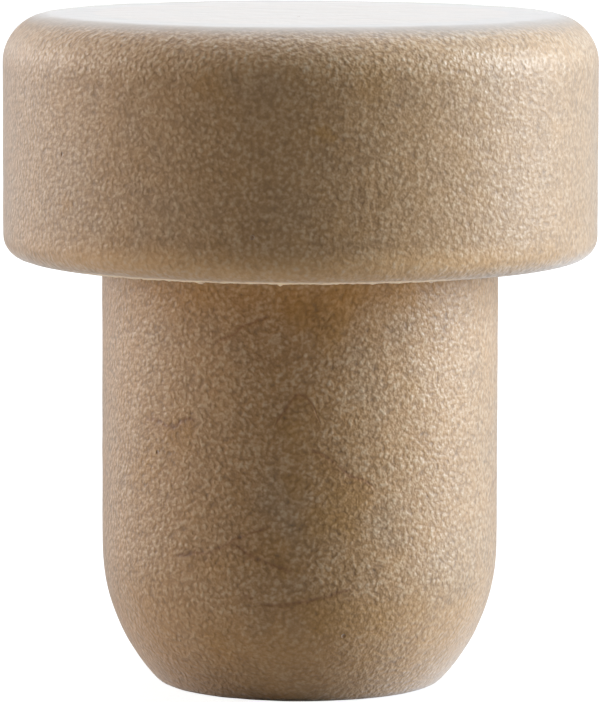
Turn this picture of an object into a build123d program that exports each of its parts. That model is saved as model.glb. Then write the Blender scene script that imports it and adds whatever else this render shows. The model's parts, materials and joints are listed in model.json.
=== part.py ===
from build123d import *
from math import sqrt
import os

# T-top bottle stopper, moulded in one piece from foamed synthetic cork.
# Millimetres, +Z up. The origin is the centre of the flat end that the stopper stands on.

# Shank: the leg that is pressed into the bottle.
shank_dia = 19.5
shank_length = 21.0  # flat end to the underside of the head
neck_chamfer = 0.3  # fills the inside corner between the shank and the head

# Nose: the lower end of the shank, a ball of the shank's own radius that is cut off flat.
end_inset = 2.85  # how far the flat end's corner lies in from the side of the shank
end_edge_radius = 0.8  # rounding of that corner

# Head: the wide grip that stays outside the bottle.
head_dia = 29.2
head_height = 12.0
crown_edge_radius = 2.4  # upper rim, round the thumb face
rim_edge_radius = 1.15  # lower rim

# Parting line: the fine ridge round the head's lower rim, where the mould halves closed.
parting_ridge_height = 0.07
parting_ridge_width = 0.14

# Gate mark: the shallow dimple in the flat end, with the torn-off stub of the sprue in it.
gate_dimple_dia = 3.2
gate_dimple_depth = 0.35
gate_stub_dia = 0.9
gate_stub_setback = 0.1  # the stub stays this far inside the flat end

# Worked out from the sizes above.
shank_radius = shank_dia / 2
head_radius = head_dia / 2
overall_height = shank_length + head_height
end_radius = shank_radius - end_inset
nose_length = sqrt(shank_radius**2 - end_radius**2)
parting_line_radius = head_radius - rim_edge_radius
gate_sphere_radius = ((gate_dimple_dia / 2) ** 2 + gate_dimple_depth**2) / (2 * gate_dimple_depth)

with BuildPart() as stopper:
    # Half of the section, on the XZ plane: the sketch's X is the radius and its Y is the height.
    with BuildSketch(Plane.XZ) as half_section:
        with BuildLine():
            Polyline(
                (end_radius, 0),
                (0, 0),
                (0, overall_height),
                (head_radius, overall_height),
                (head_radius, shank_length),
                (shank_radius, shank_length),
                (shank_radius, nose_length),
            )
            # The nose leaves the side of the shank smoothly and ends at the flat end's corner.
            TangentArc((shank_radius, nose_length), (end_radius, 0), tangent=(0, -1))
        make_face()

        rounded_corners = {
            (head_radius, overall_height): crown_edge_radius,
            (head_radius, shank_length): rim_edge_radius,
            (end_radius, 0): end_edge_radius,
        }
        for corner, radius in rounded_corners.items():
            fillet(half_section.vertices().sort_by_distance(corner)[0], radius)
        neck_corner = half_section.vertices().sort_by_distance((shank_radius, shank_length))[0]
        chamfer(neck_corner, neck_chamfer)

        # The ridge hangs where the lower rim's rounding runs out into the underside of the head.
        with BuildLine():
            Polyline(
                (parting_line_radius - parting_ridge_width, shank_length),
                (parting_line_radius, shank_length - parting_ridge_height),
                (parting_line_radius, shank_length + parting_ridge_height),
                close=True,
            )
        make_face()
    revolve(axis=Axis.Z)

    # The dimple is a shallow cap of a large sphere, cut into the flat end.
    with Locations((0, 0, gate_dimple_depth - gate_sphere_radius)):
        Sphere(gate_sphere_radius, mode=Mode.SUBTRACT)
    with BuildSketch(Plane.XY.offset(gate_stub_setback)):
        Circle(gate_stub_dia / 2)
    extrude(amount=gate_dimple_depth)

stopper.part.label = "stopper"
os.makedirs("parts", exist_ok=True)
export_step(stopper.part, "parts/stopper.step")
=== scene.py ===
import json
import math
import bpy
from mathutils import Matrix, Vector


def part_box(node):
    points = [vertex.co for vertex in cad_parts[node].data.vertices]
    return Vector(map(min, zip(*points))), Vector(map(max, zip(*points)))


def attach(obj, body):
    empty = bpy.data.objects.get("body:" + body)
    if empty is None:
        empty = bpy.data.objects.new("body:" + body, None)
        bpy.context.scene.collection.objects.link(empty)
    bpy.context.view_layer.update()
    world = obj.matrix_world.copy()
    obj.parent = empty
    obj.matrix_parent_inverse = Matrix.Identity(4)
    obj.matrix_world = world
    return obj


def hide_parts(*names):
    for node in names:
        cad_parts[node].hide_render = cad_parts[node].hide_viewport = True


bl_info = {
    "name": "T-Top Bottle Stopper",
    "version": (1, 0, 0),
    "blender": (4, 5, 0),
    "location": "3D View > Sidebar > Stopper",
    "description": "Builds a moulded bottle stopper with a foamed skin, and the stage it stands on",
    "category": "Add Mesh",
}

import bmesh
import bpy
from bpy.props import FloatProperty, FloatVectorProperty, IntProperty, PointerProperty
from mathutils import Matrix, Vector, noise

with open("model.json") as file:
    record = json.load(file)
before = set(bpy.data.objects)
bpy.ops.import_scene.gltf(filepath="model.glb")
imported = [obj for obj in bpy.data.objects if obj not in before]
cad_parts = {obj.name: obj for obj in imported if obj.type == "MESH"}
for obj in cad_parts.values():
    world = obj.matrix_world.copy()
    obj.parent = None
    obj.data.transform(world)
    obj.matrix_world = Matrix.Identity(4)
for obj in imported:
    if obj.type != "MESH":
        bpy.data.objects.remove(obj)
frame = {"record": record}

MM = 0.001  # metres
NODE = "stopper"
BODY = "root"

# Sizes that the frame gives. Its mesh is faceted, so its box is a hair narrower than the head: the
# rounding puts that right.
mounts = {mount["name"]: mount for mount in frame["record"]["mounts"]}
highest_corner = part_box(NODE)[1]
HEAD_RADIUS = round(highest_corner.x, 4)
OVERALL_HEIGHT = round(highest_corner.z, 4)
UNDERSIDE_HEIGHT = mounts["head_underside"]["pos_m"][2]
SHANK_RADIUS = mounts["shank"]["dims"]["r_mm"] * MM
STRAIGHT_LENGTH = mounts["shank"]["dims"]["length_mm"] * MM
NOSE_LENGTH = mounts["shank"]["pos_m"][2] - STRAIGHT_LENGTH / 2
NECK_CHAMFER = UNDERSIDE_HEIGHT - NOSE_LENGTH - STRAIGHT_LENGTH


# Settings that a user would change.


def length(name, description, default):
    limits = {"min": 0.0, "unit": "LENGTH", "precision": 5}
    return FloatProperty(name=name, description=description, default=default, **limits)


def share(name, description, default):
    limits = {"min": 0.0, "max": 1.0, "subtype": "FACTOR"}
    return FloatProperty(name=name, description=description, default=default, **limits)


def paint(name, description, default):
    limits = {"size": 3, "min": 0.0, "max": 1.0, "subtype": "COLOR"}
    return FloatVectorProperty(name=name, description=description, default=default, **limits)


def angle(name, description, default):
    return FloatProperty(name=name, description=description, default=default, subtype="ANGLE")


class STOPPER_PG_sizes(bpy.types.PropertyGroup):
    """Sizes of the stopper"""

    head_radius: length("Head Radius", "Radius of the head", HEAD_RADIUS)
    overall_height: length("Overall Height", "From the flat end up to the thumb face", OVERALL_HEIGHT)
    underside_height: length("Underside Height", "From the flat end up to the head", UNDERSIDE_HEIGHT)
    shank_radius: length("Shank Radius", "Radius of the shank and of its ball nose", SHANK_RADIUS)
    nose_length: length("Nose Length", "From the flat end up to the straight part", NOSE_LENGTH)
    neck_chamfer: length("Neck Chamfer", "Fills the corner between shank and head", NECK_CHAMFER)
    crown_radius: length("Crown Rounding", "Rounding of the head's upper rim", 2.4 * MM)
    rim_radius: length("Rim Rounding", "Rounding of the head's lower rim", 1.15 * MM)
    end_rounding: length("End Rounding", "Rounding of the flat end's corner", 0.8 * MM)
    flash_drop: length("Flash Drop", "How far the whole parting flash hangs below the head", 0.07 * MM)
    flash_width: length("Flash Width", "Width of the parting flash at its root", 0.14 * MM)
    dimple_radius: length("Gate Dimple Radius", "Radius of the dimple in the flat end", 1.6 * MM)
    dimple_depth: length("Gate Dimple Depth", "Depth of the dimple in the flat end", 0.35 * MM)
    stub_radius: length("Gate Stub Radius", "Radius of the torn stub in the dimple", 0.45 * MM)
    stub_setback: length("Gate Stub Setback", "How far the stub stays inside the flat end", 0.1 * MM)
    row_spacing: length("Row Spacing", "Longest step between two rows of the mesh", 0.45 * MM)
    arc_spacing: length("Arc Spacing", "Longest step between two rows on a rounded edge", 0.25 * MM)
    segments: IntProperty(name="Segments", description="Mesh steps round the axis", default=540, min=24)


class STOPPER_PG_skin(bpy.types.PropertyGroup):
    """Look of the foamed skin"""

    tan: paint("Tan", "Main colour of the head", (0.355, 0.17, 0.04))
    amber: paint("Amber", "Main colour of the shank", (0.375, 0.174, 0.036))
    honey: paint("Honey", "Warm colour in patches of the skin", (0.345, 0.148, 0.008))
    ash: paint("Ash", "Cooler colour in patches of the skin", (0.335, 0.176, 0.06))
    # The thumb face's own dull colour, darkened further as painted shade to tone down the strong light on
    # the top.
    dusk_and_top_shade: paint("Dusk", "Dull colour of the thumb face", (0.205, 0.165, 0.13))
    umber: paint("Umber", "Dark colour in the flow lines and pits", (0.245, 0.085, 0.0))
    bone: paint("Bone", "Pale colour of the grain's tips", (0.6, 0.427, 0.262))
    # Partly a painted highlight: the flash gets a very pale colour where it catches light.
    straw_and_painted_highlight: paint("Straw", "Pale colour of the thin parting flash", (1.0, 0.76, 0.46))
    glow: paint("Glow", "Light that comes through the thin parting flash", (0.21, 0.115, 0.045))
    roughness: share("Roughness", "Roughness of the sides", 0.52)
    sheen: share("Sheen", "Strength of the frosty bloom on the skin", 0.6)
    sheen_roughness: share("Sheen Roughness", "Width of that bloom", 0.6)
    grain_size: length("Grain Size", "Distance from one grain to the next", 0.245 * MM)
    grain_depth: length("Grain Depth", "Depth of the fine grain", 0.04 * MM)
    speckle: share("Speckle", "Strength of the grain's pale tips", 0.58)
    shade: FloatProperty(name="Shade", description="Strength of the main colours", default=1.13, min=0)
    relief: length("Relief", "Height of the slow waves in the skin", 0.03 * MM)
    flash_left: share("Flash Left", "How much of the parting flash's drop the mould left", 0.2)
    flash_tear: length("Flash Tear", "How far the parting flash's edge wanders", 0.04 * MM)
    nib_length: length("Nib Length", "Length of the torn nibs on the parting flash", 0.16 * MM)


class STOPPER_PG_stage(bpy.types.PropertyGroup):
    """Floor, lights and camera"""

    backdrop: share("Backdrop", "Brightness of the white backdrop in reflections", 1.0)
    dark_room: share("Dark Room", "Brightness of the room in front, in reflections", 0.0)
    paper: share("Paper", "How much light the floor gives back", 0.56)
    lamp_distance: length("Lamp Distance", "From the stopper out to each lamp", 0.6)
    view_distance: length("View Distance", "From the stopper's axis to the camera", 285 * MM)
    view_height: length("View Height", "Height of the camera above the floor", 48.21 * MM)
    view_pitch: angle("View Pitch", "How far the camera looks down", 0.11133)
    view_roll: angle("View Roll", "How far the camera leans", 0.00274)
    focal_length: FloatProperty(name="Focal Length", description="Lens", default=298.6, unit="CAMERA")


# Shader maths.

WHITE = (1.0, 1.0, 1.0)
DARK = (0.0, 0.0, 0.0)


def rgba(colour):
    return (*colour, 1.0)


class Wire:
    """An output of a node. An expression on wires and numbers adds the Math nodes that it needs."""

    def __init__(self, shader, socket):
        self.shader = shader
        self.socket = socket

    def maths(self, operation, *others):
        return self.shader.add("Math", {"operation": operation}, dict(enumerate((self, *others))))

    def __add__(self, other):
        return self.maths("ADD", other)

    def __sub__(self, other):
        return self.maths("SUBTRACT", other)

    def __rsub__(self, other):
        return self.maths("MULTIPLY_ADD", -1.0, other)

    def __mul__(self, other):
        return self.maths("MULTIPLY", other)

    def __truediv__(self, other):
        return self.maths("DIVIDE", other)

    def __neg__(self):
        return self.maths("MULTIPLY", -1.0)

    def __abs__(self):
        return self.maths("ABSOLUTE")

    __radd__ = __add__
    __rmul__ = __mul__

    def fade(self, start, end):
        """A smooth step from 0 at start to 1 at end."""
        inputs = {"Value": self, "From Min": start, "From Max": end}
        return self.shader.add("MapRange", {"interpolation_type": "SMOOTHSTEP"}, inputs)


def layered(*layers):
    """Adds masks, each times its strength, up to a full 1."""
    total = 0.0
    for mask, strength in layers:
        total = total + mask * strength
    return total.maths("MINIMUM", 1.0)


class Shader:
    """Adds nodes to a material's or a world's node tree."""

    def __init__(self, tree):
        self.tree = tree
        tree.nodes.clear()

    def add(self, kind, settings=None, inputs=None, output=0):
        """Adds a node, sets it up, then gives its sockets their values or links. Returns an output."""
        node = self.tree.nodes.new("ShaderNode" + kind)
        for name, value in (settings or {}).items():
            if name == "points":
                self.set_points(node.mapping, value)
            else:
                setattr(node, name, value)
        for name, value in (inputs or {}).items():
            socket = self.find(node.inputs, name)
            if isinstance(value, Wire):
                self.tree.links.new(value.socket, socket)
            else:
                socket.default_value = value
        return Wire(self, self.find(node.outputs, output)) if node.outputs else None

    @staticmethod
    def find(sockets, name):
        """The socket at a number, or the one in use that has a name."""
        if isinstance(name, int):
            return [socket for socket in sockets if socket.enabled][name]
        return next(socket for socket in sockets if socket.name == name and socket.enabled)

    @staticmethod
    def set_points(mapping, points):
        """Gives a curve its points. A new one has two already."""
        curve = mapping.curves[0]
        curve.points[0].location = points[0]
        curve.points[-1].location = points[-1]
        for point in points[1:-1]:
            curve.points.new(*point)
        mapping.update()

    def split(self, vector):
        """The three parts of a vector or a colour."""
        x = self.add("SeparateXYZ", {}, {0: vector})
        return [Wire(self, socket) for socket in x.socket.node.outputs]

    def vectors(self, operation, first, second, output="Vector"):
        """Vector maths on two vectors or colours."""
        return self.add("VectorMath", {"operation": operation}, {0: first, 1: second}, output)

    def scaled(self, vector, factor):
        """A vector or a colour times a number."""
        return self.add("VectorMath", {"operation": "SCALE"}, {"Vector": vector, "Scale": factor})

    def mix(self, factor, first, second):
        """Mixes two colours."""
        return self.add("Mix", {"data_type": "RGBA"}, {"Factor": factor, "A": first, "B": second})

    def noise(self, place, size, detail, seed, output=0):
        """A soft random field about 0.5, in lumps of a size in the units of the place."""
        inputs = {"Vector": place, "W": seed, "Scale": 1 / size, "Detail": detail, "Roughness": 0.55}
        return self.add("TexNoise", {"noise_dimensions": "4D"}, inputs, output)

    def cells(self, place, size, output):
        """Cells with random centres: the distance to the nearest centre, or that cell's own colour."""
        return self.add("TexVoronoi", {}, {"Vector": place, "Scale": 1 / size}, output)


def new_shader(name):
    """A new material, and the shader that adds its nodes."""
    material = bpy.data.materials.new(name)
    material.use_nodes = True
    return (material, Shader(material.node_tree))


# Shape of the body.

MERGE_DISTANCE = 0.002 * MM
SAME_PLACE = 0.01 * MM  # two points that are nearer than this are the same point of the section
RIM_ARC_START = math.radians(-88)  # the rim's rounding starts just outside the flash's tip


def arc(centre, radius, start, end, spacing):
    """Points on an arc of the section, from one angle to another, both ends included."""
    steps = max(2, math.ceil(abs(end - start) * radius / spacing))
    turns = [start + (end - start) * step / steps for step in range(steps + 1)]
    return [(centre[0] + radius * math.cos(turn), centre[1] + radius * math.sin(turn)) for turn in turns]


def half_section(sizes):
    """The right half of the section as (radius, height) points, up the outside from axis to axis."""
    spacing = sizes.arc_spacing
    ball_centre = (0.0, sizes.nose_length)
    rounding = sizes.end_rounding
    # The rounding of the end's corner touches the flat end and the ball from inside.
    rounding_reach = sizes.shank_radius - rounding
    rounding_centre = (math.sqrt(rounding_reach**2 - (sizes.nose_length - rounding) ** 2), rounding)
    ball_start = -math.acos(rounding_centre[0] / rounding_reach)
    dimple_sphere = (sizes.dimple_radius**2 + sizes.dimple_depth**2) / (2 * sizes.dimple_depth)
    dimple_centre = (0.0, sizes.dimple_depth - dimple_sphere)
    stub_edge = math.acos(sizes.stub_radius / dimple_sphere)
    dimple_edge = math.acos(sizes.dimple_radius / dimple_sphere)
    parting_radius = sizes.head_radius - sizes.rim_radius
    rim_centre = (parting_radius, sizes.underside_height + sizes.rim_radius)
    crown_centre = (sizes.head_radius - sizes.crown_radius, sizes.overall_height - sizes.crown_radius)
    return [
        (0.0, sizes.stub_setback),
        (sizes.stub_radius, sizes.stub_setback),
        *arc(dimple_centre, dimple_sphere, stub_edge, dimple_edge, spacing),
        *arc(rounding_centre, rounding, -math.pi / 2, ball_start, spacing),
        *arc(ball_centre, sizes.shank_radius, ball_start, 0.0, spacing)[1:],
        (sizes.shank_radius, sizes.underside_height - sizes.neck_chamfer),
        (sizes.shank_radius + sizes.neck_chamfer, sizes.underside_height),
        (parting_radius - sizes.flash_width, sizes.underside_height),
        (parting_radius, sizes.underside_height - sizes.flash_drop),
        *arc(rim_centre, sizes.rim_radius, RIM_ARC_START, 0.0, spacing),
        *arc(crown_centre, sizes.crown_radius, 0.0, math.pi / 2, spacing),
        (0.0, sizes.overall_height),
    ]


def turned_body(sizes):
    """Turns the half section round the axis."""
    mesh = bmesh.new()
    chain = [mesh.verts.new((radius, 0.0, height)) for radius, height in half_section(sizes)]
    edges = [mesh.edges.new(pair) for pair in zip(chain, chain[1:])]
    for edge in edges:
        cuts = math.ceil(edge.calc_length() / sizes.row_spacing) - 1
        if cuts > 0:
            bmesh.ops.subdivide_edges(mesh, edges=[edge], cuts=cuts)
    bmesh.ops.spin(
        mesh,
        geom=mesh.verts[:] + mesh.edges[:],
        cent=(0, 0, 0),
        axis=(0, 0, 1),
        angle=math.tau,
        steps=sizes.segments,
        use_merge=True,
    )
    bmesh.ops.remove_doubles(mesh, verts=mesh.verts, dist=MERGE_DISTANCE)
    bmesh.ops.recalc_face_normals(mesh, faces=mesh.faces)
    return mesh


# Wear of the body. Azimuths are in degrees from the front, positive to the right.

# Torn nibs on the parting flash: azimuth, and length as a share of the longest.
NIBS = (
    (-33.0, 0.3),
    (-20.2, 0.8),
    (-4.0, 0.5),
    (14.5, 0.3),
    (27.3, 1.0),
    (113.5, 0.9),
    (131.0, 0.5),
    (-128.0, 0.8),
    (-141.5, 0.5),
    (-172.0, 0.9),
)
NIB_HALF_WIDTH = 0.7  # degrees

# Where the parting flash stands out: azimuth of the middle of each stretch, and half its width.
FRONT_AZIMUTH = -8
FLASH_STRETCHES = ((FRONT_AZIMUTH, 42), (122, 18), (-150, 36))
FLASH_FADE = 12  # degrees over which a stretch runs out

# Sizes in mm of the lumps in the random shapes.
WAVE_LUMPS = 1.3
TEAR_LUMPS = 0.5
FINE_TEAR_LUMPS = 0.17
STUB_LUMPS = 0.2
FINE_TEAR_SHARE = 0.8  # height of the fine tear, next to that of the coarse one
STUB_TEAR_SHARE = 0.4  # height of the stub's torn face, next to its setback


def flash_at(azimuth):
    """How much the parting flash stands out at an azimuth, from 0 to 1."""
    inside = max(half_width - abs(azimuth - middle) for middle, half_width in FLASH_STRETCHES)
    return min(max(inside / FLASH_FADE, 0.0), 1.0)


def nib_at(azimuth):
    """How far a nib sticks out at an azimuth, as a share of the longest."""
    return max(reach * max(0.0, 1 - abs(azimuth - middle) / NIB_HALF_WIDTH) for middle, reach in NIBS)


def lumps(place, size):
    """A random height from -1 to 1 at a place, in soft lumps of a size in mm."""
    return noise.noise(place / (size * MM))


def weather(mesh, sizes, skin):
    """Gives the skin its slow waves, and tears the edge of the parting flash and the gate stub."""
    tip_radius = sizes.head_radius - sizes.rim_radius
    tip_height = sizes.underside_height - sizes.flash_drop
    mesh.normal_update()
    for vert in mesh.verts:
        place = vert.co.copy()
        radius = place.xy.length
        if abs(radius - tip_radius) < SAME_PLACE and abs(place.z - tip_height) < SAME_PLACE:
            torn = lumps(place, TEAR_LUMPS) + FINE_TEAR_SHARE * lumps(place, FINE_TEAR_LUMPS)
            azimuth = math.degrees(math.atan2(place.x, -place.y))
            hanging = skin.flash_tear * torn + skin.nib_length * nib_at(azimuth)
            left = skin.flash_left * sizes.flash_drop
            vert.co.z = sizes.underside_height - left - hanging * flash_at(azimuth)
        elif radius < sizes.stub_radius and place.z < sizes.dimple_depth:
            vert.co.z += STUB_TEAR_SHARE * sizes.stub_setback * lumps(place, STUB_LUMPS)
        else:
            wave = 0.5 + 0.5 * lumps(place, WAVE_LUMPS)
            vert.co -= vert.normal * (skin.relief * wave)


def object_from(mesh, name):
    """Makes a smooth-shaded object of a finished mesh, with its place in the mesh."""
    data = bpy.data.meshes.new(name)
    for face in mesh.faces:
        face.smooth = True
    mesh.to_mesh(data)
    mesh.free()
    made = bpy.data.objects.new(name, data)
    bpy.context.collection.objects.link(made)
    return made


# Marks on the skin. Azimuths are in degrees from the front, heights above the flat end in mm.

# Flow fronts, where foam met foam in the mould: (azimuth, height) points along each, and how much
# darker the skin is just below the line, or above it where that is negative.
FLOW_FRONTS = (
    (
        ((-39, 7.25), (-35, 7.4), (-30, 7.55), (-25, 7.7), (-21, 8.0), (-18, 8.3), (-14, 8.6), (-7, 9.0)),
        0.6,
    ),
    (((-20, 8.05), (-16, 7.75), (-12, 7.45), (-8, 7.2), (-4, 6.9), (-1, 6.8)), -0.5),
    (((-18, 5.85), (-14, 5.5), (-10, 5.2), (-6, 5.15), (-1, 5.3), (5, 5.5), (10, 5.65), (17, 6.3)), 0.5),
    (((-25, 17.7), (-21, 18.0), (-17, 18.5), (-12, 18.9), (-8, 19.15)), 0.3),
    (((-51, 13.3), (-48, 13.75), (-44, 13.75), (-41, 13.5), (-36, 13.8), (-32, 14.0), (-30, 13.4)), 0.8),
    (((-8, 13.2), (-6, 14.2), (-3, 14.9), (0, 15.4), (3, 15.0), (5, 14.2), (7, 13.4)), 1.0),
    (((2, 12.9), (6, 12.5), (10, 12.0), (15, 11.4), (20, 11.0), (23, 10.3)), 1.0),
    (((70, 9.0), (85, 10.4), (97, 10.1), (112, 11.6), (120, 11.2)), 0.6),
    (((84, 16.4), (92, 15.2), (101, 14.9), (107, 15.6)), 0.8),
    (((128, 15.6), (137, 14.4), (150, 14.1), (158, 12.9)), 0.5),
    (((139, 6.1), (152, 5.2), (166, 5.6), (175, 5.1)), -0.4),
    (((-95, 8.1), (-104, 7.2), (-118, 7.5), (-131, 6.3)), 0.7),
    (((-88, 17.2), (-97, 18.1), (-109, 17.8)), 0.5),
    (((-150, 12.2), (-158, 13.5), (-170, 13.9), (-176, 15.0)), 0.7),
)
FLOW_LINE_WIDTH = 0.17  # mm
FLOW_WASH_START = (-0.05, 0.1)  # mm, where the darker skin sets in at the line
FLOW_WASH_WIDTH = 1.3  # mm
FLOW_WANDER = 0.5  # mm, the band that a flow front wanders in
FLOW_END = 0.12  # share of a flow front's length over which each end runs out

# Honey-coloured patches: azimuth, height, radius in mm, strength.
PATCHES = (
    (-46, 19.9, 1.2, 0.3),
    (-34, 19.4, 1.2, 0.3),
    (-29, 20.1, 0.8, 0.4),
    (2, 19.1, 1.2, 0.7),
    (9, 19.2, 1.2, 0.8),
    (15, 20.1, 1.2, 0.5),
    (8, 17.9, 1.0, 0.5),
    (20, 18.2, 0.7, 0.4),
    (31, 20.2, 1.1, 0.4),
    (0, 15.0, 0.6, 0.6),
    (-3, 13.9, 0.8, 0.7),
    (4, 14.1, 0.7, 0.6),
    (0, 12.8, 0.9, 0.4),
    (16, 13.6, 0.8, 0.3),
    (33, 15.6, 0.7, 0.4),
    (-37, 13.1, 1.0, 0.7),
    (-47, 12.2, 1.1, 0.7),
    (-52, 10.9, 1.1, 0.7),
    (7, 12.1, 0.7, 0.4),
    (-1, 10.9, 0.8, 0.8),
    (10, 10.9, 1.0, 0.6),
    (17, 10.6, 1.0, 0.9),
    (11, 9.8, 1.2, 0.7),
    (5, 9.0, 1.1, 0.8),
    (13, 8.9, 0.9, 0.5),
    (-9, 7.6, 1.0, 0.4),
    (-4, 6.9, 0.6, 0.9),
    (-27, 6.9, 0.9, 0.4),
    (-33, 7.1, 0.7, 0.3),
    (14, 6.7, 0.8, 0.3),
    (4, 4.9, 1.2, 0.7),
    (12, 4.5, 1.3, 0.7),
    (24, 4.5, 1.2, 0.6),
    (36, 4.8, 1.1, 0.4),
    (-38, 4.6, 1.0, 0.3),
    (-25, 3.5, 1.2, 0.3),
    (-50, 24.3, 0.6, 0.8),
    (-36, 22.8, 1.0, 0.4),
    (-17, 30.2, 0.9, 0.5),
    (14, 30.3, 1.2, 0.4),
    (4.5, 28.2, 0.5, 0.8),
    (53, 22.2, 1.6, 0.5),
    (92, 12.6, 1.2, 0.8),
    (100, 19.6, 1.4, 0.6),
    (148, 17.4, 1.1, 0.7),
    (171, 10.2, 1.3, 0.7),
    (-164, 8.2, 1.0, 0.8),
    (-122, 10.8, 1.3, 0.8),
    (-128, 19.4, 1.2, 0.6),
    (-85, 4.6, 1.2, 0.5),
    (118, 25.6, 0.8, 0.7),
    (-137, 27.9, 0.7, 0.7),
)
PATCH_WANDER = 1.6  # mm, the band that a patch's edge wanders in
PATCH_CORE = 0.35  # share of a patch's radius at which its edge starts to fade
PATCH_REACH = 1.25  # and where it ends

PIT_SPACING = 2.2  # mm between the cells that may have a pit
PIT_CHANCE = (0.8, 0.82)  # a cell has one if its random number is over these
PIT_EDGE = (0.02, 0.06)  # from full depth to none, as shares of the spacing
DRAG_STRETCH = (1.0, 1.0, 0.07)  # draws the drag marks out upright

# Bands, in mm, over which the skin's regions fade in. A band with a minus sign lies below its level.
NECK_BAND = (-0.05, 0.25)  # out from the foot of the chamfer under the head
BELOW_HEAD_BAND = (-3.2, -0.4)
# The lower rim is lightened all round, and most of all in front, with painted light that stands in for
# light from the floor.
LOWER_RIM_BAND = (0.6, 2.0)  # above the underside of the head
FLASH_BAND = (0.06, 0.16)  # likewise
FLASH_RING_BAND = (-0.2, -0.1)  # in from the parting line
NOSE_BAND = (2.5, 6.5)  # above the flat end
THUMB_FACE_BAND = (-0.7, -0.02)
# The crown's band gets a painted highlight, as if lit from above.
CROWN_BAND = (-3.0, -1.4)
COARSE_BAND = (-3.0, -1.2)
# Bands in degrees to either side of the front azimuth.
PAINTED_RIM_LIGHT_SPREAD = (28, 62)
FLASH_SPREAD = (34, 46)


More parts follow.
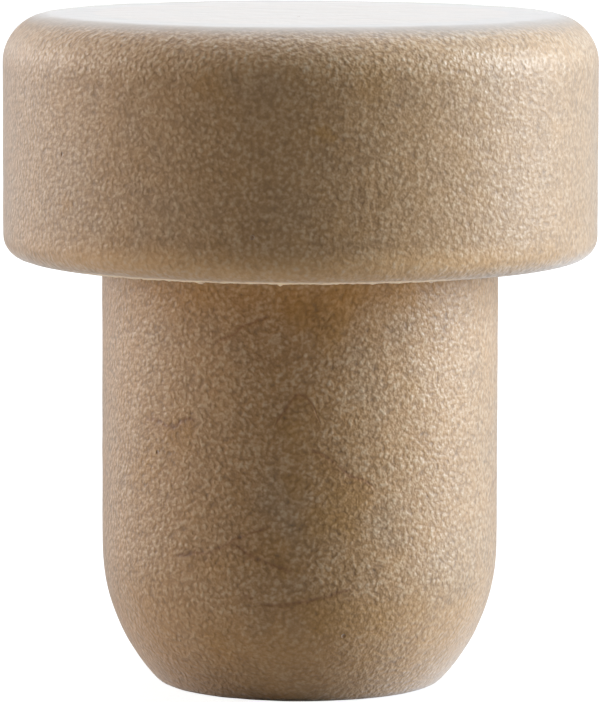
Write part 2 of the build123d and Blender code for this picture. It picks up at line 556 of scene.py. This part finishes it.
class SkinMap:
    """Where a point of the skin lies, in mm and degrees, and masks from 0 to 1 for regions and marks."""

    def __init__(self, shader, sizes):
        self.shader = shader
        self.sizes = sizes
        self.underside = sizes.underside_height / MM
        self.top = sizes.overall_height / MM
        neck = (sizes.shank_radius + sizes.neck_chamfer) / MM

        self.place = shader.scaled(shader.add("TexCoord", output="Object"), 1 / MM)
        (x, y, self.height) = shader.split(self.place)
        self.azimuth = x.maths("ARCTAN2", -y) * math.degrees(1)
        self.radius = (x * x + y * y).maths("SQRT")
        # Added to a place, it makes the edges of lines and patches wander.
        wobble = shader.noise(self.place, size=0.8, detail=2.0, seed=5.0, output="Color")
        self.shake = shader.vectors("SUBTRACT", wobble, (0.5, 0.5, 0.5))

        self.head = self.past(self.radius, neck, NECK_BAND)
        self.shank = 1 - self.head
        self.below_head = self.past(self.height, self.underside, BELOW_HEAD_BAND) * self.shank
        self.lower_rim = (1 - self.past(self.height, self.underside, LOWER_RIM_BAND)) * self.head
        self.nose = 1 - self.past(self.height, 0.0, NOSE_BAND)
        self.thumb_face = self.past(self.height, self.top, THUMB_FACE_BAND)
        # Painted light: the crown's band, lightened as if lit from above.
        self.painted_crown_light = self.past(self.height, self.top, CROWN_BAND) * (1 - self.thumb_face)
        self.off_front = abs(self.azimuth - FRONT_AZIMUTH)
        # Painted light on the front of the lower rim, as if lit from the floor below.
        self.painted_rim_light = self.lower_rim * (1 - self.off_front.fade(*PAINTED_RIM_LIGHT_SPREAD))

    @staticmethod
    def past(value, level, band):
        """A mask that fades in over a band about a level."""
        return value.fade(level + band[0], level + band[1])

    def noise(self, size, detail, seed):
        """A soft random field about 0.5, in lumps of a size in mm."""
        return self.shader.noise(self.place, size, detail, seed)

    def grain(self, size):
        """Sandy lumps, how coarse they are, and their pale tips. The thumb face is almost smooth."""
        near_top = self.past(self.height, self.top, COARSE_BAND)
        coarse = (1 + near_top * 0.6 + self.shank * 0.3) * (1 - self.thumb_face * 0.9)
        off_lump = self.shader.cells(self.place, size, "Distance")
        sand = self.noise(size * 0.85, detail=1.0, seed=3.1) + 0.2 - off_lump * 0.4
        return (sand, coarse, sand.fade(0.36, 0.88) * coarse)

    def flow_front(self, height, points):
        """How far the skin is above a line through given points, and a mask that fades at its ends."""
        points = sorted(points)
        (first, last) = (points[0][0], points[-1][0])
        levels = [level for turn, level in points]
        (low, high) = (min(levels), max(levels))
        shape = [((turn - first) / (last - first), (level - low) / (high - low)) for turn, level in points]
        along = (self.azimuth - first) / (last - first)
        line = self.shader.add("FloatCurve", {"points": shape}, {"Value": along}) * (high - low) + low
        ends = along.fade(0.0, FLOW_END) * (1 - along.fade(1 - FLOW_END, 1.0))
        return (height - line, ends)

    def flow_marks(self):
        """Flow fronts: a thin crease, broken up here and there, and a darker wash along one side of it."""
        height = self.height + self.shader.split(self.shake)[2] * FLOW_WANDER
        (creases, washes) = (0.0, 0.0)
        for points, wash in FLOW_FRONTS:
            (above, ends) = self.flow_front(height, points)
            creases = creases + (1 - abs(above).fade(0.0, FLOW_LINE_WIDTH)) * ends
            side = above * (-1.0 if wash > 0 else 1.0)
            near_line = side.fade(*FLOW_WASH_START) * (1 - side.fade(FLOW_WASH_START[1], FLOW_WASH_WIDTH))
            washes = washes + near_line * ends * abs(wash)
        unbroken = self.noise(0.7, detail=1.0, seed=9.0).fade(0.25, 0.45)
        return (creases * self.shank * unbroken, washes * self.shank)

    def middle_of(self, azimuth, height):
        """The point, in mm, on the side of the stopper at an azimuth and a height."""
        radius = self.sizes.shank_radius / MM
        nose_length = self.sizes.nose_length / MM
        if height > self.underside:
            radius = self.sizes.head_radius / MM
        elif height < nose_length:
            radius = math.sqrt(radius**2 - (nose_length - height) ** 2)
        turn = math.radians(azimuth)
        return (radius * math.sin(turn), -radius * math.cos(turn), height)

    def stains(self):
        """Honey-coloured patches with ragged edges."""
        shaken = self.shader.vectors("ADD", self.place, self.shader.scaled(self.shake, PATCH_WANDER))
        patches = []
        for azimuth, height, reach, strength in PATCHES:
            near = self.shader.vectors("DISTANCE", shaken, self.middle_of(azimuth, height), "Value")
            patches.append((1 - near.fade(reach * PATCH_CORE, reach * PATCH_REACH), strength))
        return layered(*patches)

    def drag_marks(self):
        """Fine upright marks, where the head slid out of the mould."""
        upright = self.shader.vectors("MULTIPLY", self.place, DRAG_STRETCH)
        streaks = self.shader.noise(upright, size=0.55, detail=1.0, seed=31.0).fade(0.58, 0.74)
        return streaks * (1 - self.shank * 0.75) * (1 - self.thumb_face)

    def pits(self):
        """Small burst bubbles, only in the few cells with a high random number."""
        nearest = self.shader.cells(self.place, PIT_SPACING, "Distance")
        chance = self.shader.split(self.shader.cells(self.place, PIT_SPACING, "Color"))[0]
        return (1 - nearest.fade(*PIT_EDGE)) * chance.fade(*PIT_CHANCE)

    def flash(self):
        """The thin parting flash under the head's lower rim, which is torn and strongest in front."""
        parting_radius = (self.sizes.head_radius - self.sizes.rim_radius) / MM
        ring = self.past(self.radius, parting_radius, FLASH_RING_BAND)
        ring = ring * (1 - self.past(self.height, self.underside, FLASH_BAND))
        in_front = 1 - self.off_front.fade(*FLASH_SPREAD) * 0.8
        return ring * in_front * self.noise(0.5, detail=2.0, seed=41.0).fade(0.2, 0.6)


def foamed_skin(skin, sizes):
    """Material of the stopper: a tan foamed skin with a sandy grain, flow fronts, stains and pits."""
    (material, shader) = new_shader("foamed_skin")
    skin_map = SkinMap(shader, sizes)
    (sand, coarse, pale) = skin_map.grain(skin.grain_size / MM)
    (creases, washes) = skin_map.flow_marks()
    stains = skin_map.stains()
    drags = skin_map.drag_marks()
    pits = skin_map.pits()
    flash = skin_map.flash()
    honey = skin_map.noise(2.2, detail=2.0, seed=11.0).fade(0.5, 0.72)
    ash = skin_map.noise(3.4, detail=2.0, seed=19.0).fade(0.48, 0.7)
    tone = skin_map.noise(0.9, detail=3.0, seed=23.0) - 0.5
    swell = skin_map.noise(1.1, detail=1.0, seed=7.7)
    off_nose = 1 - skin_map.nose * 0.3
    warmth = layered(
        (honey, 0.25), (stains, 0.9), (skin_map.below_head, 0.6), (washes, 0.35), (skin_map.nose, 0.2)
    )
    darks = layered((creases, 0.9), (washes, 0.22), (pits, 0.8), (drags, 0.15))

    # From the main colour through the patches to the marks, then the grain's tips and the flash.
    colour = shader.mix(skin_map.shank, rgba(skin.tan), rgba(skin.amber))
    colour = shader.mix(ash * 0.6, colour, rgba(skin.ash))
    colour = shader.mix(warmth, colour, rgba(skin.honey))
    # The thumb face's dull colour is partly painted shade that tones down how brightly the top is lit.
    colour = shader.mix(skin_map.thumb_face * 0.5, colour, rgba(skin.dusk_and_top_shade))
    colour = shader.mix(darks, colour, rgba(skin.umber))
    shade = skin.shade + tone * 0.5 + (sand - 0.5) * coarse * off_nose * 0.9
    # Painted light: the lower rim is lightened, most of all in front, as if lit from the floor below.
    shade = shade + skin_map.painted_rim_light * 0.5 + skin_map.lower_rim * 0.1
    # Painted highlight: the crown is lightened as if lit from above.
    shade = shade + skin_map.painted_crown_light * 0.15 + skin_map.below_head * 0.15 + skin_map.nose * 0.2
    tips = pale * skin.speckle * (1 - warmth * 0.6) * off_nose * (1 - darks * 0.8)
    # Painted highlight: paler tips on the front of the lower rim and on the crown.
    tips = tips + skin_map.painted_rim_light * 0.1 + skin_map.painted_crown_light * 0.08
    colour = shader.mix(tips, shader.scaled(colour, shade), rgba(skin.bone))
    # The flash's pale colour is partly its own and partly a painted highlight where it catches light.
    colour = shader.mix(flash, colour, rgba(skin.straw_and_painted_highlight))

    relief = sand * coarse + swell * 0.8 - creases * 0.3 - pits * 2.0 - drags * 0.15
    bump = shader.add("Bump", {}, {"Height": relief, "Distance": skin.grain_depth, "Strength": 1.0})
    inputs = {
        "Base Color": colour,
        "Roughness": skin.roughness - pale * 0.1,
        "Normal": bump,
        "Emission Color": shader.mix(flash, rgba(DARK), rgba(skin.glow)),
        "Emission Strength": 1.0,
        "Sheen Weight": skin.sheen,
        "Sheen Roughness": skin.sheen_roughness,
    }
    surface = shader.add("BsdfPrincipled", {}, inputs)
    shader.add("OutputMaterial", {}, {"Surface": surface})
    return material


class STOPPER_OT_build_stopper(bpy.types.Operator):
    """Build the stopper's body with its foamed skin"""

    bl_idname = "stopper.build_stopper"
    bl_label = "Build Stopper"

    def execute(self, context):
        sizes = context.scene.stopper_sizes
        skin = context.scene.stopper_skin
        mesh = turned_body(sizes)
        weather(mesh, sizes, skin)
        body = object_from(mesh, "stopper_body")
        body.data.materials.append(foamed_skin(skin, sizes))
        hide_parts(NODE)
        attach(body, BODY)
        return {"FINISHED"}


# Stage.

# Lamps: name, azimuth and elevation of the middle, width and height, all in degrees as the stopper
# sees them, then brightness and warmth.
LAMPS = (
    ("right_strip", 90, 8, 15, 15, 25.4, -0.15),
    ("right_rear_strip", 105, 8, 15, 15, 12.8, -0.17),
    ("right_high", 90, 28, 30, 22, 12.3, -0.14),
    ("left_strip", -90, 8, 15, 15, 7.3, 0.04),
    ("left_rear_strip", -105, 8, 15, 15, 9.1, 0.0),
    ("left_back_strip", -130, 8, 15, 15, 7.2, -0.04),
    ("left_high", -90, 28, 30, 22, 3.2, 0.04),
    ("left_back_high", -120, 28, 30, 22, 1.4, 0.04),
    ("back_high", 180, 52, 50, 25, 1.9, -0.07),
    ("top", 0, 90, 40, 40, 1.85, -0.07),
)
FLOOR_HALF_WIDTH = 3.0  # metres
FLOOR_BRIGHTNESS = 1 / 3  # of white paper under the lamps alone
SHADOW_SHARE = 0.1  # how much of the floor's brightness in the picture comes from the lamps
SHADOW_REACH = 0.25  # metres from the stopper to where the floor is plain white
SHADOW_CORE = 0.3  # share of that reach within which the shadow is at its full strength
SENSOR_WIDTH = 36.0  # mm


def area_lamp(name, azimuth, elevation, width, height, brightness, warmth, target, distance):
    """Adds an area lamp that faces the target. Warmth turns its white to orange, or to blue below 0."""
    (azimuth, elevation) = (math.radians(azimuth), math.radians(elevation))
    away = Vector((
        math.cos(elevation) * math.sin(azimuth),
        -math.cos(elevation) * math.cos(azimuth),
        math.sin(elevation),
    ))
    lamp = bpy.data.lights.new(name, "AREA")
    lamp.shape = "RECTANGLE"
    lamp.size = 2 * distance * math.tan(math.radians(width) / 2)
    lamp.size_y = 2 * distance * math.tan(math.radians(height) / 2)
    lamp.energy = brightness * math.pi * lamp.size * lamp.size_y
    lamp.color = (1 + warmth, 1.0, 1 - warmth)
    made = bpy.data.objects.new(name, lamp)
    made.location = target + away * distance
    made.rotation_euler = (-away).to_track_quat("-Z", "Y").to_euler()
    bpy.context.collection.objects.link(made)
    return made


def studio_world(stage):
    """White backdrop for the camera and for reflections, darker in front. It adds no other light."""
    world = bpy.data.worlds.new("studio")
    world.use_nodes = True
    shader = Shader(world.node_tree)
    direction = shader.add("TexCoord", output="Generated")
    behind = (shader.split(direction)[1] + 1) * 0.5
    reflected = stage.dark_room + behind * (stage.backdrop - stage.dark_room)
    seen = shader.add("LightPath", output="Is Camera Ray")
    mirrored = shader.add("LightPath", output="Is Glossy Ray")
    through = shader.add("LightPath", output="Is Transmission Ray")
    strength = seen + mirrored * reflected + through
    surface = shader.add("Background", {}, {"Color": rgba(WHITE), "Strength": strength})
    shader.add("OutputWorld", {}, {"Surface": surface})
    return world


def paper_floor(stage):
    """Pale floor. The camera sees it white, with a soft shadow where the stopper stands."""
    floor_mesh = bmesh.new()
    bmesh.ops.create_grid(floor_mesh, x_segments=1, y_segments=1, size=FLOOR_HALF_WIDTH)
    floor = object_from(floor_mesh, "floor")
    (material, shader) = new_shader("paper")
    place = shader.add("TexCoord", output="Object")
    away = shader.add("VectorMath", {"operation": "LENGTH"}, {0: place}, "Value")
    near = 1 - away.fade(SHADOW_REACH * SHADOW_CORE, SHADOW_REACH)
    lit = shader.add("BsdfDiffuse", {}, {"Color": rgba([stage.paper] * 3)})
    faint = shader.add("BsdfDiffuse", {}, {"Color": rgba([SHADOW_SHARE / FLOOR_BRIGHTNESS] * 3)})
    glow = shader.add("Emission", {}, {"Color": rgba(WHITE), "Strength": 1 - near * SHADOW_SHARE})
    pale = shader.add("AddShader", {}, {0: faint, 1: glow})
    seen = shader.add("LightPath", output="Is Camera Ray")
    surface = shader.add("MixShader", {}, {0: seen, 1: lit, 2: pale})
    shader.add("OutputMaterial", {}, {"Surface": surface})
    floor.data.materials.append(material)
    return floor


def view_camera(stage):
    """Camera in front of the stopper, looking slightly down."""
    camera = bpy.data.cameras.new("camera")
    camera.lens = stage.focal_length
    camera.sensor_width = SENSOR_WIDTH
    camera.clip_start = 0.01
    camera.clip_end = 20.0
    view = bpy.data.objects.new("camera", camera)
    view.location = (0.0, -stage.view_distance, stage.view_height)
    down = Matrix.Rotation(math.pi / 2 - stage.view_pitch, 3, "X")
    view.rotation_euler = (down @ Matrix.Rotation(stage.view_roll, 3, "Z")).to_euler()
    bpy.context.collection.objects.link(view)
    return view


class STOPPER_OT_build_stage(bpy.types.Operator):
    """Build the floor, the lights and the camera"""

    bl_idname = "stopper.build_stage"
    bl_label = "Build Stage"

    def execute(self, context):
        scene = context.scene
        stage = scene.stopper_stage
        scene.world = studio_world(stage)
        paper_floor(stage)
        middle = Vector((0.0, 0.0, scene.stopper_sizes.overall_height / 2))
        for lamp in LAMPS:
            area_lamp(*lamp, middle, stage.lamp_distance)
        scene.camera = view_camera(stage)
        scene.view_settings.view_transform = "Standard"
        return {"FINISHED"}


class STOPPER_PT_sidebar(bpy.types.Panel):
    """Lists the settings and what the add-on builds"""

    bl_label = "Bottle Stopper"
    bl_idname = "STOPPER_PT_sidebar"
    bl_space_type = "VIEW_3D"
    bl_region_type = "UI"
    bl_category = "Stopper"

    def draw(self, context):
        layout = self.layout
        for title, settings in (
            ("Sizes", context.scene.stopper_sizes),
            ("Skin", context.scene.stopper_skin),
            ("Stage", context.scene.stopper_stage),
        ):
            box = layout.box()
            box.label(text=title)
            for name in settings.bl_rna.properties.keys():
                if name not in {"rna_type", "name"}:
                    box.prop(settings, name)
        layout.operator(STOPPER_OT_build_stopper.bl_idname)
        layout.operator(STOPPER_OT_build_stage.bl_idname)


classes = (
    STOPPER_PG_sizes,
    STOPPER_PG_skin,
    STOPPER_PG_stage,
    STOPPER_OT_build_stopper,
    STOPPER_OT_build_stage,
    STOPPER_PT_sidebar,
)


def register():
    for item in classes:
        bpy.utils.register_class(item)
    bpy.types.Scene.stopper_sizes = PointerProperty(type=STOPPER_PG_sizes)
    bpy.types.Scene.stopper_skin = PointerProperty(type=STOPPER_PG_skin)
    bpy.types.Scene.stopper_stage = PointerProperty(type=STOPPER_PG_stage)


def unregister():
    del bpy.types.Scene.stopper_stage
    del bpy.types.Scene.stopper_skin
    del bpy.types.Scene.stopper_sizes
    for item in reversed(classes):
        bpy.utils.unregister_class(item)


def main():
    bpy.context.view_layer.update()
    register()
    bpy.ops.stopper.build_stopper()
    bpy.ops.stopper.build_stage()


if __name__ == "__main__":
    main()
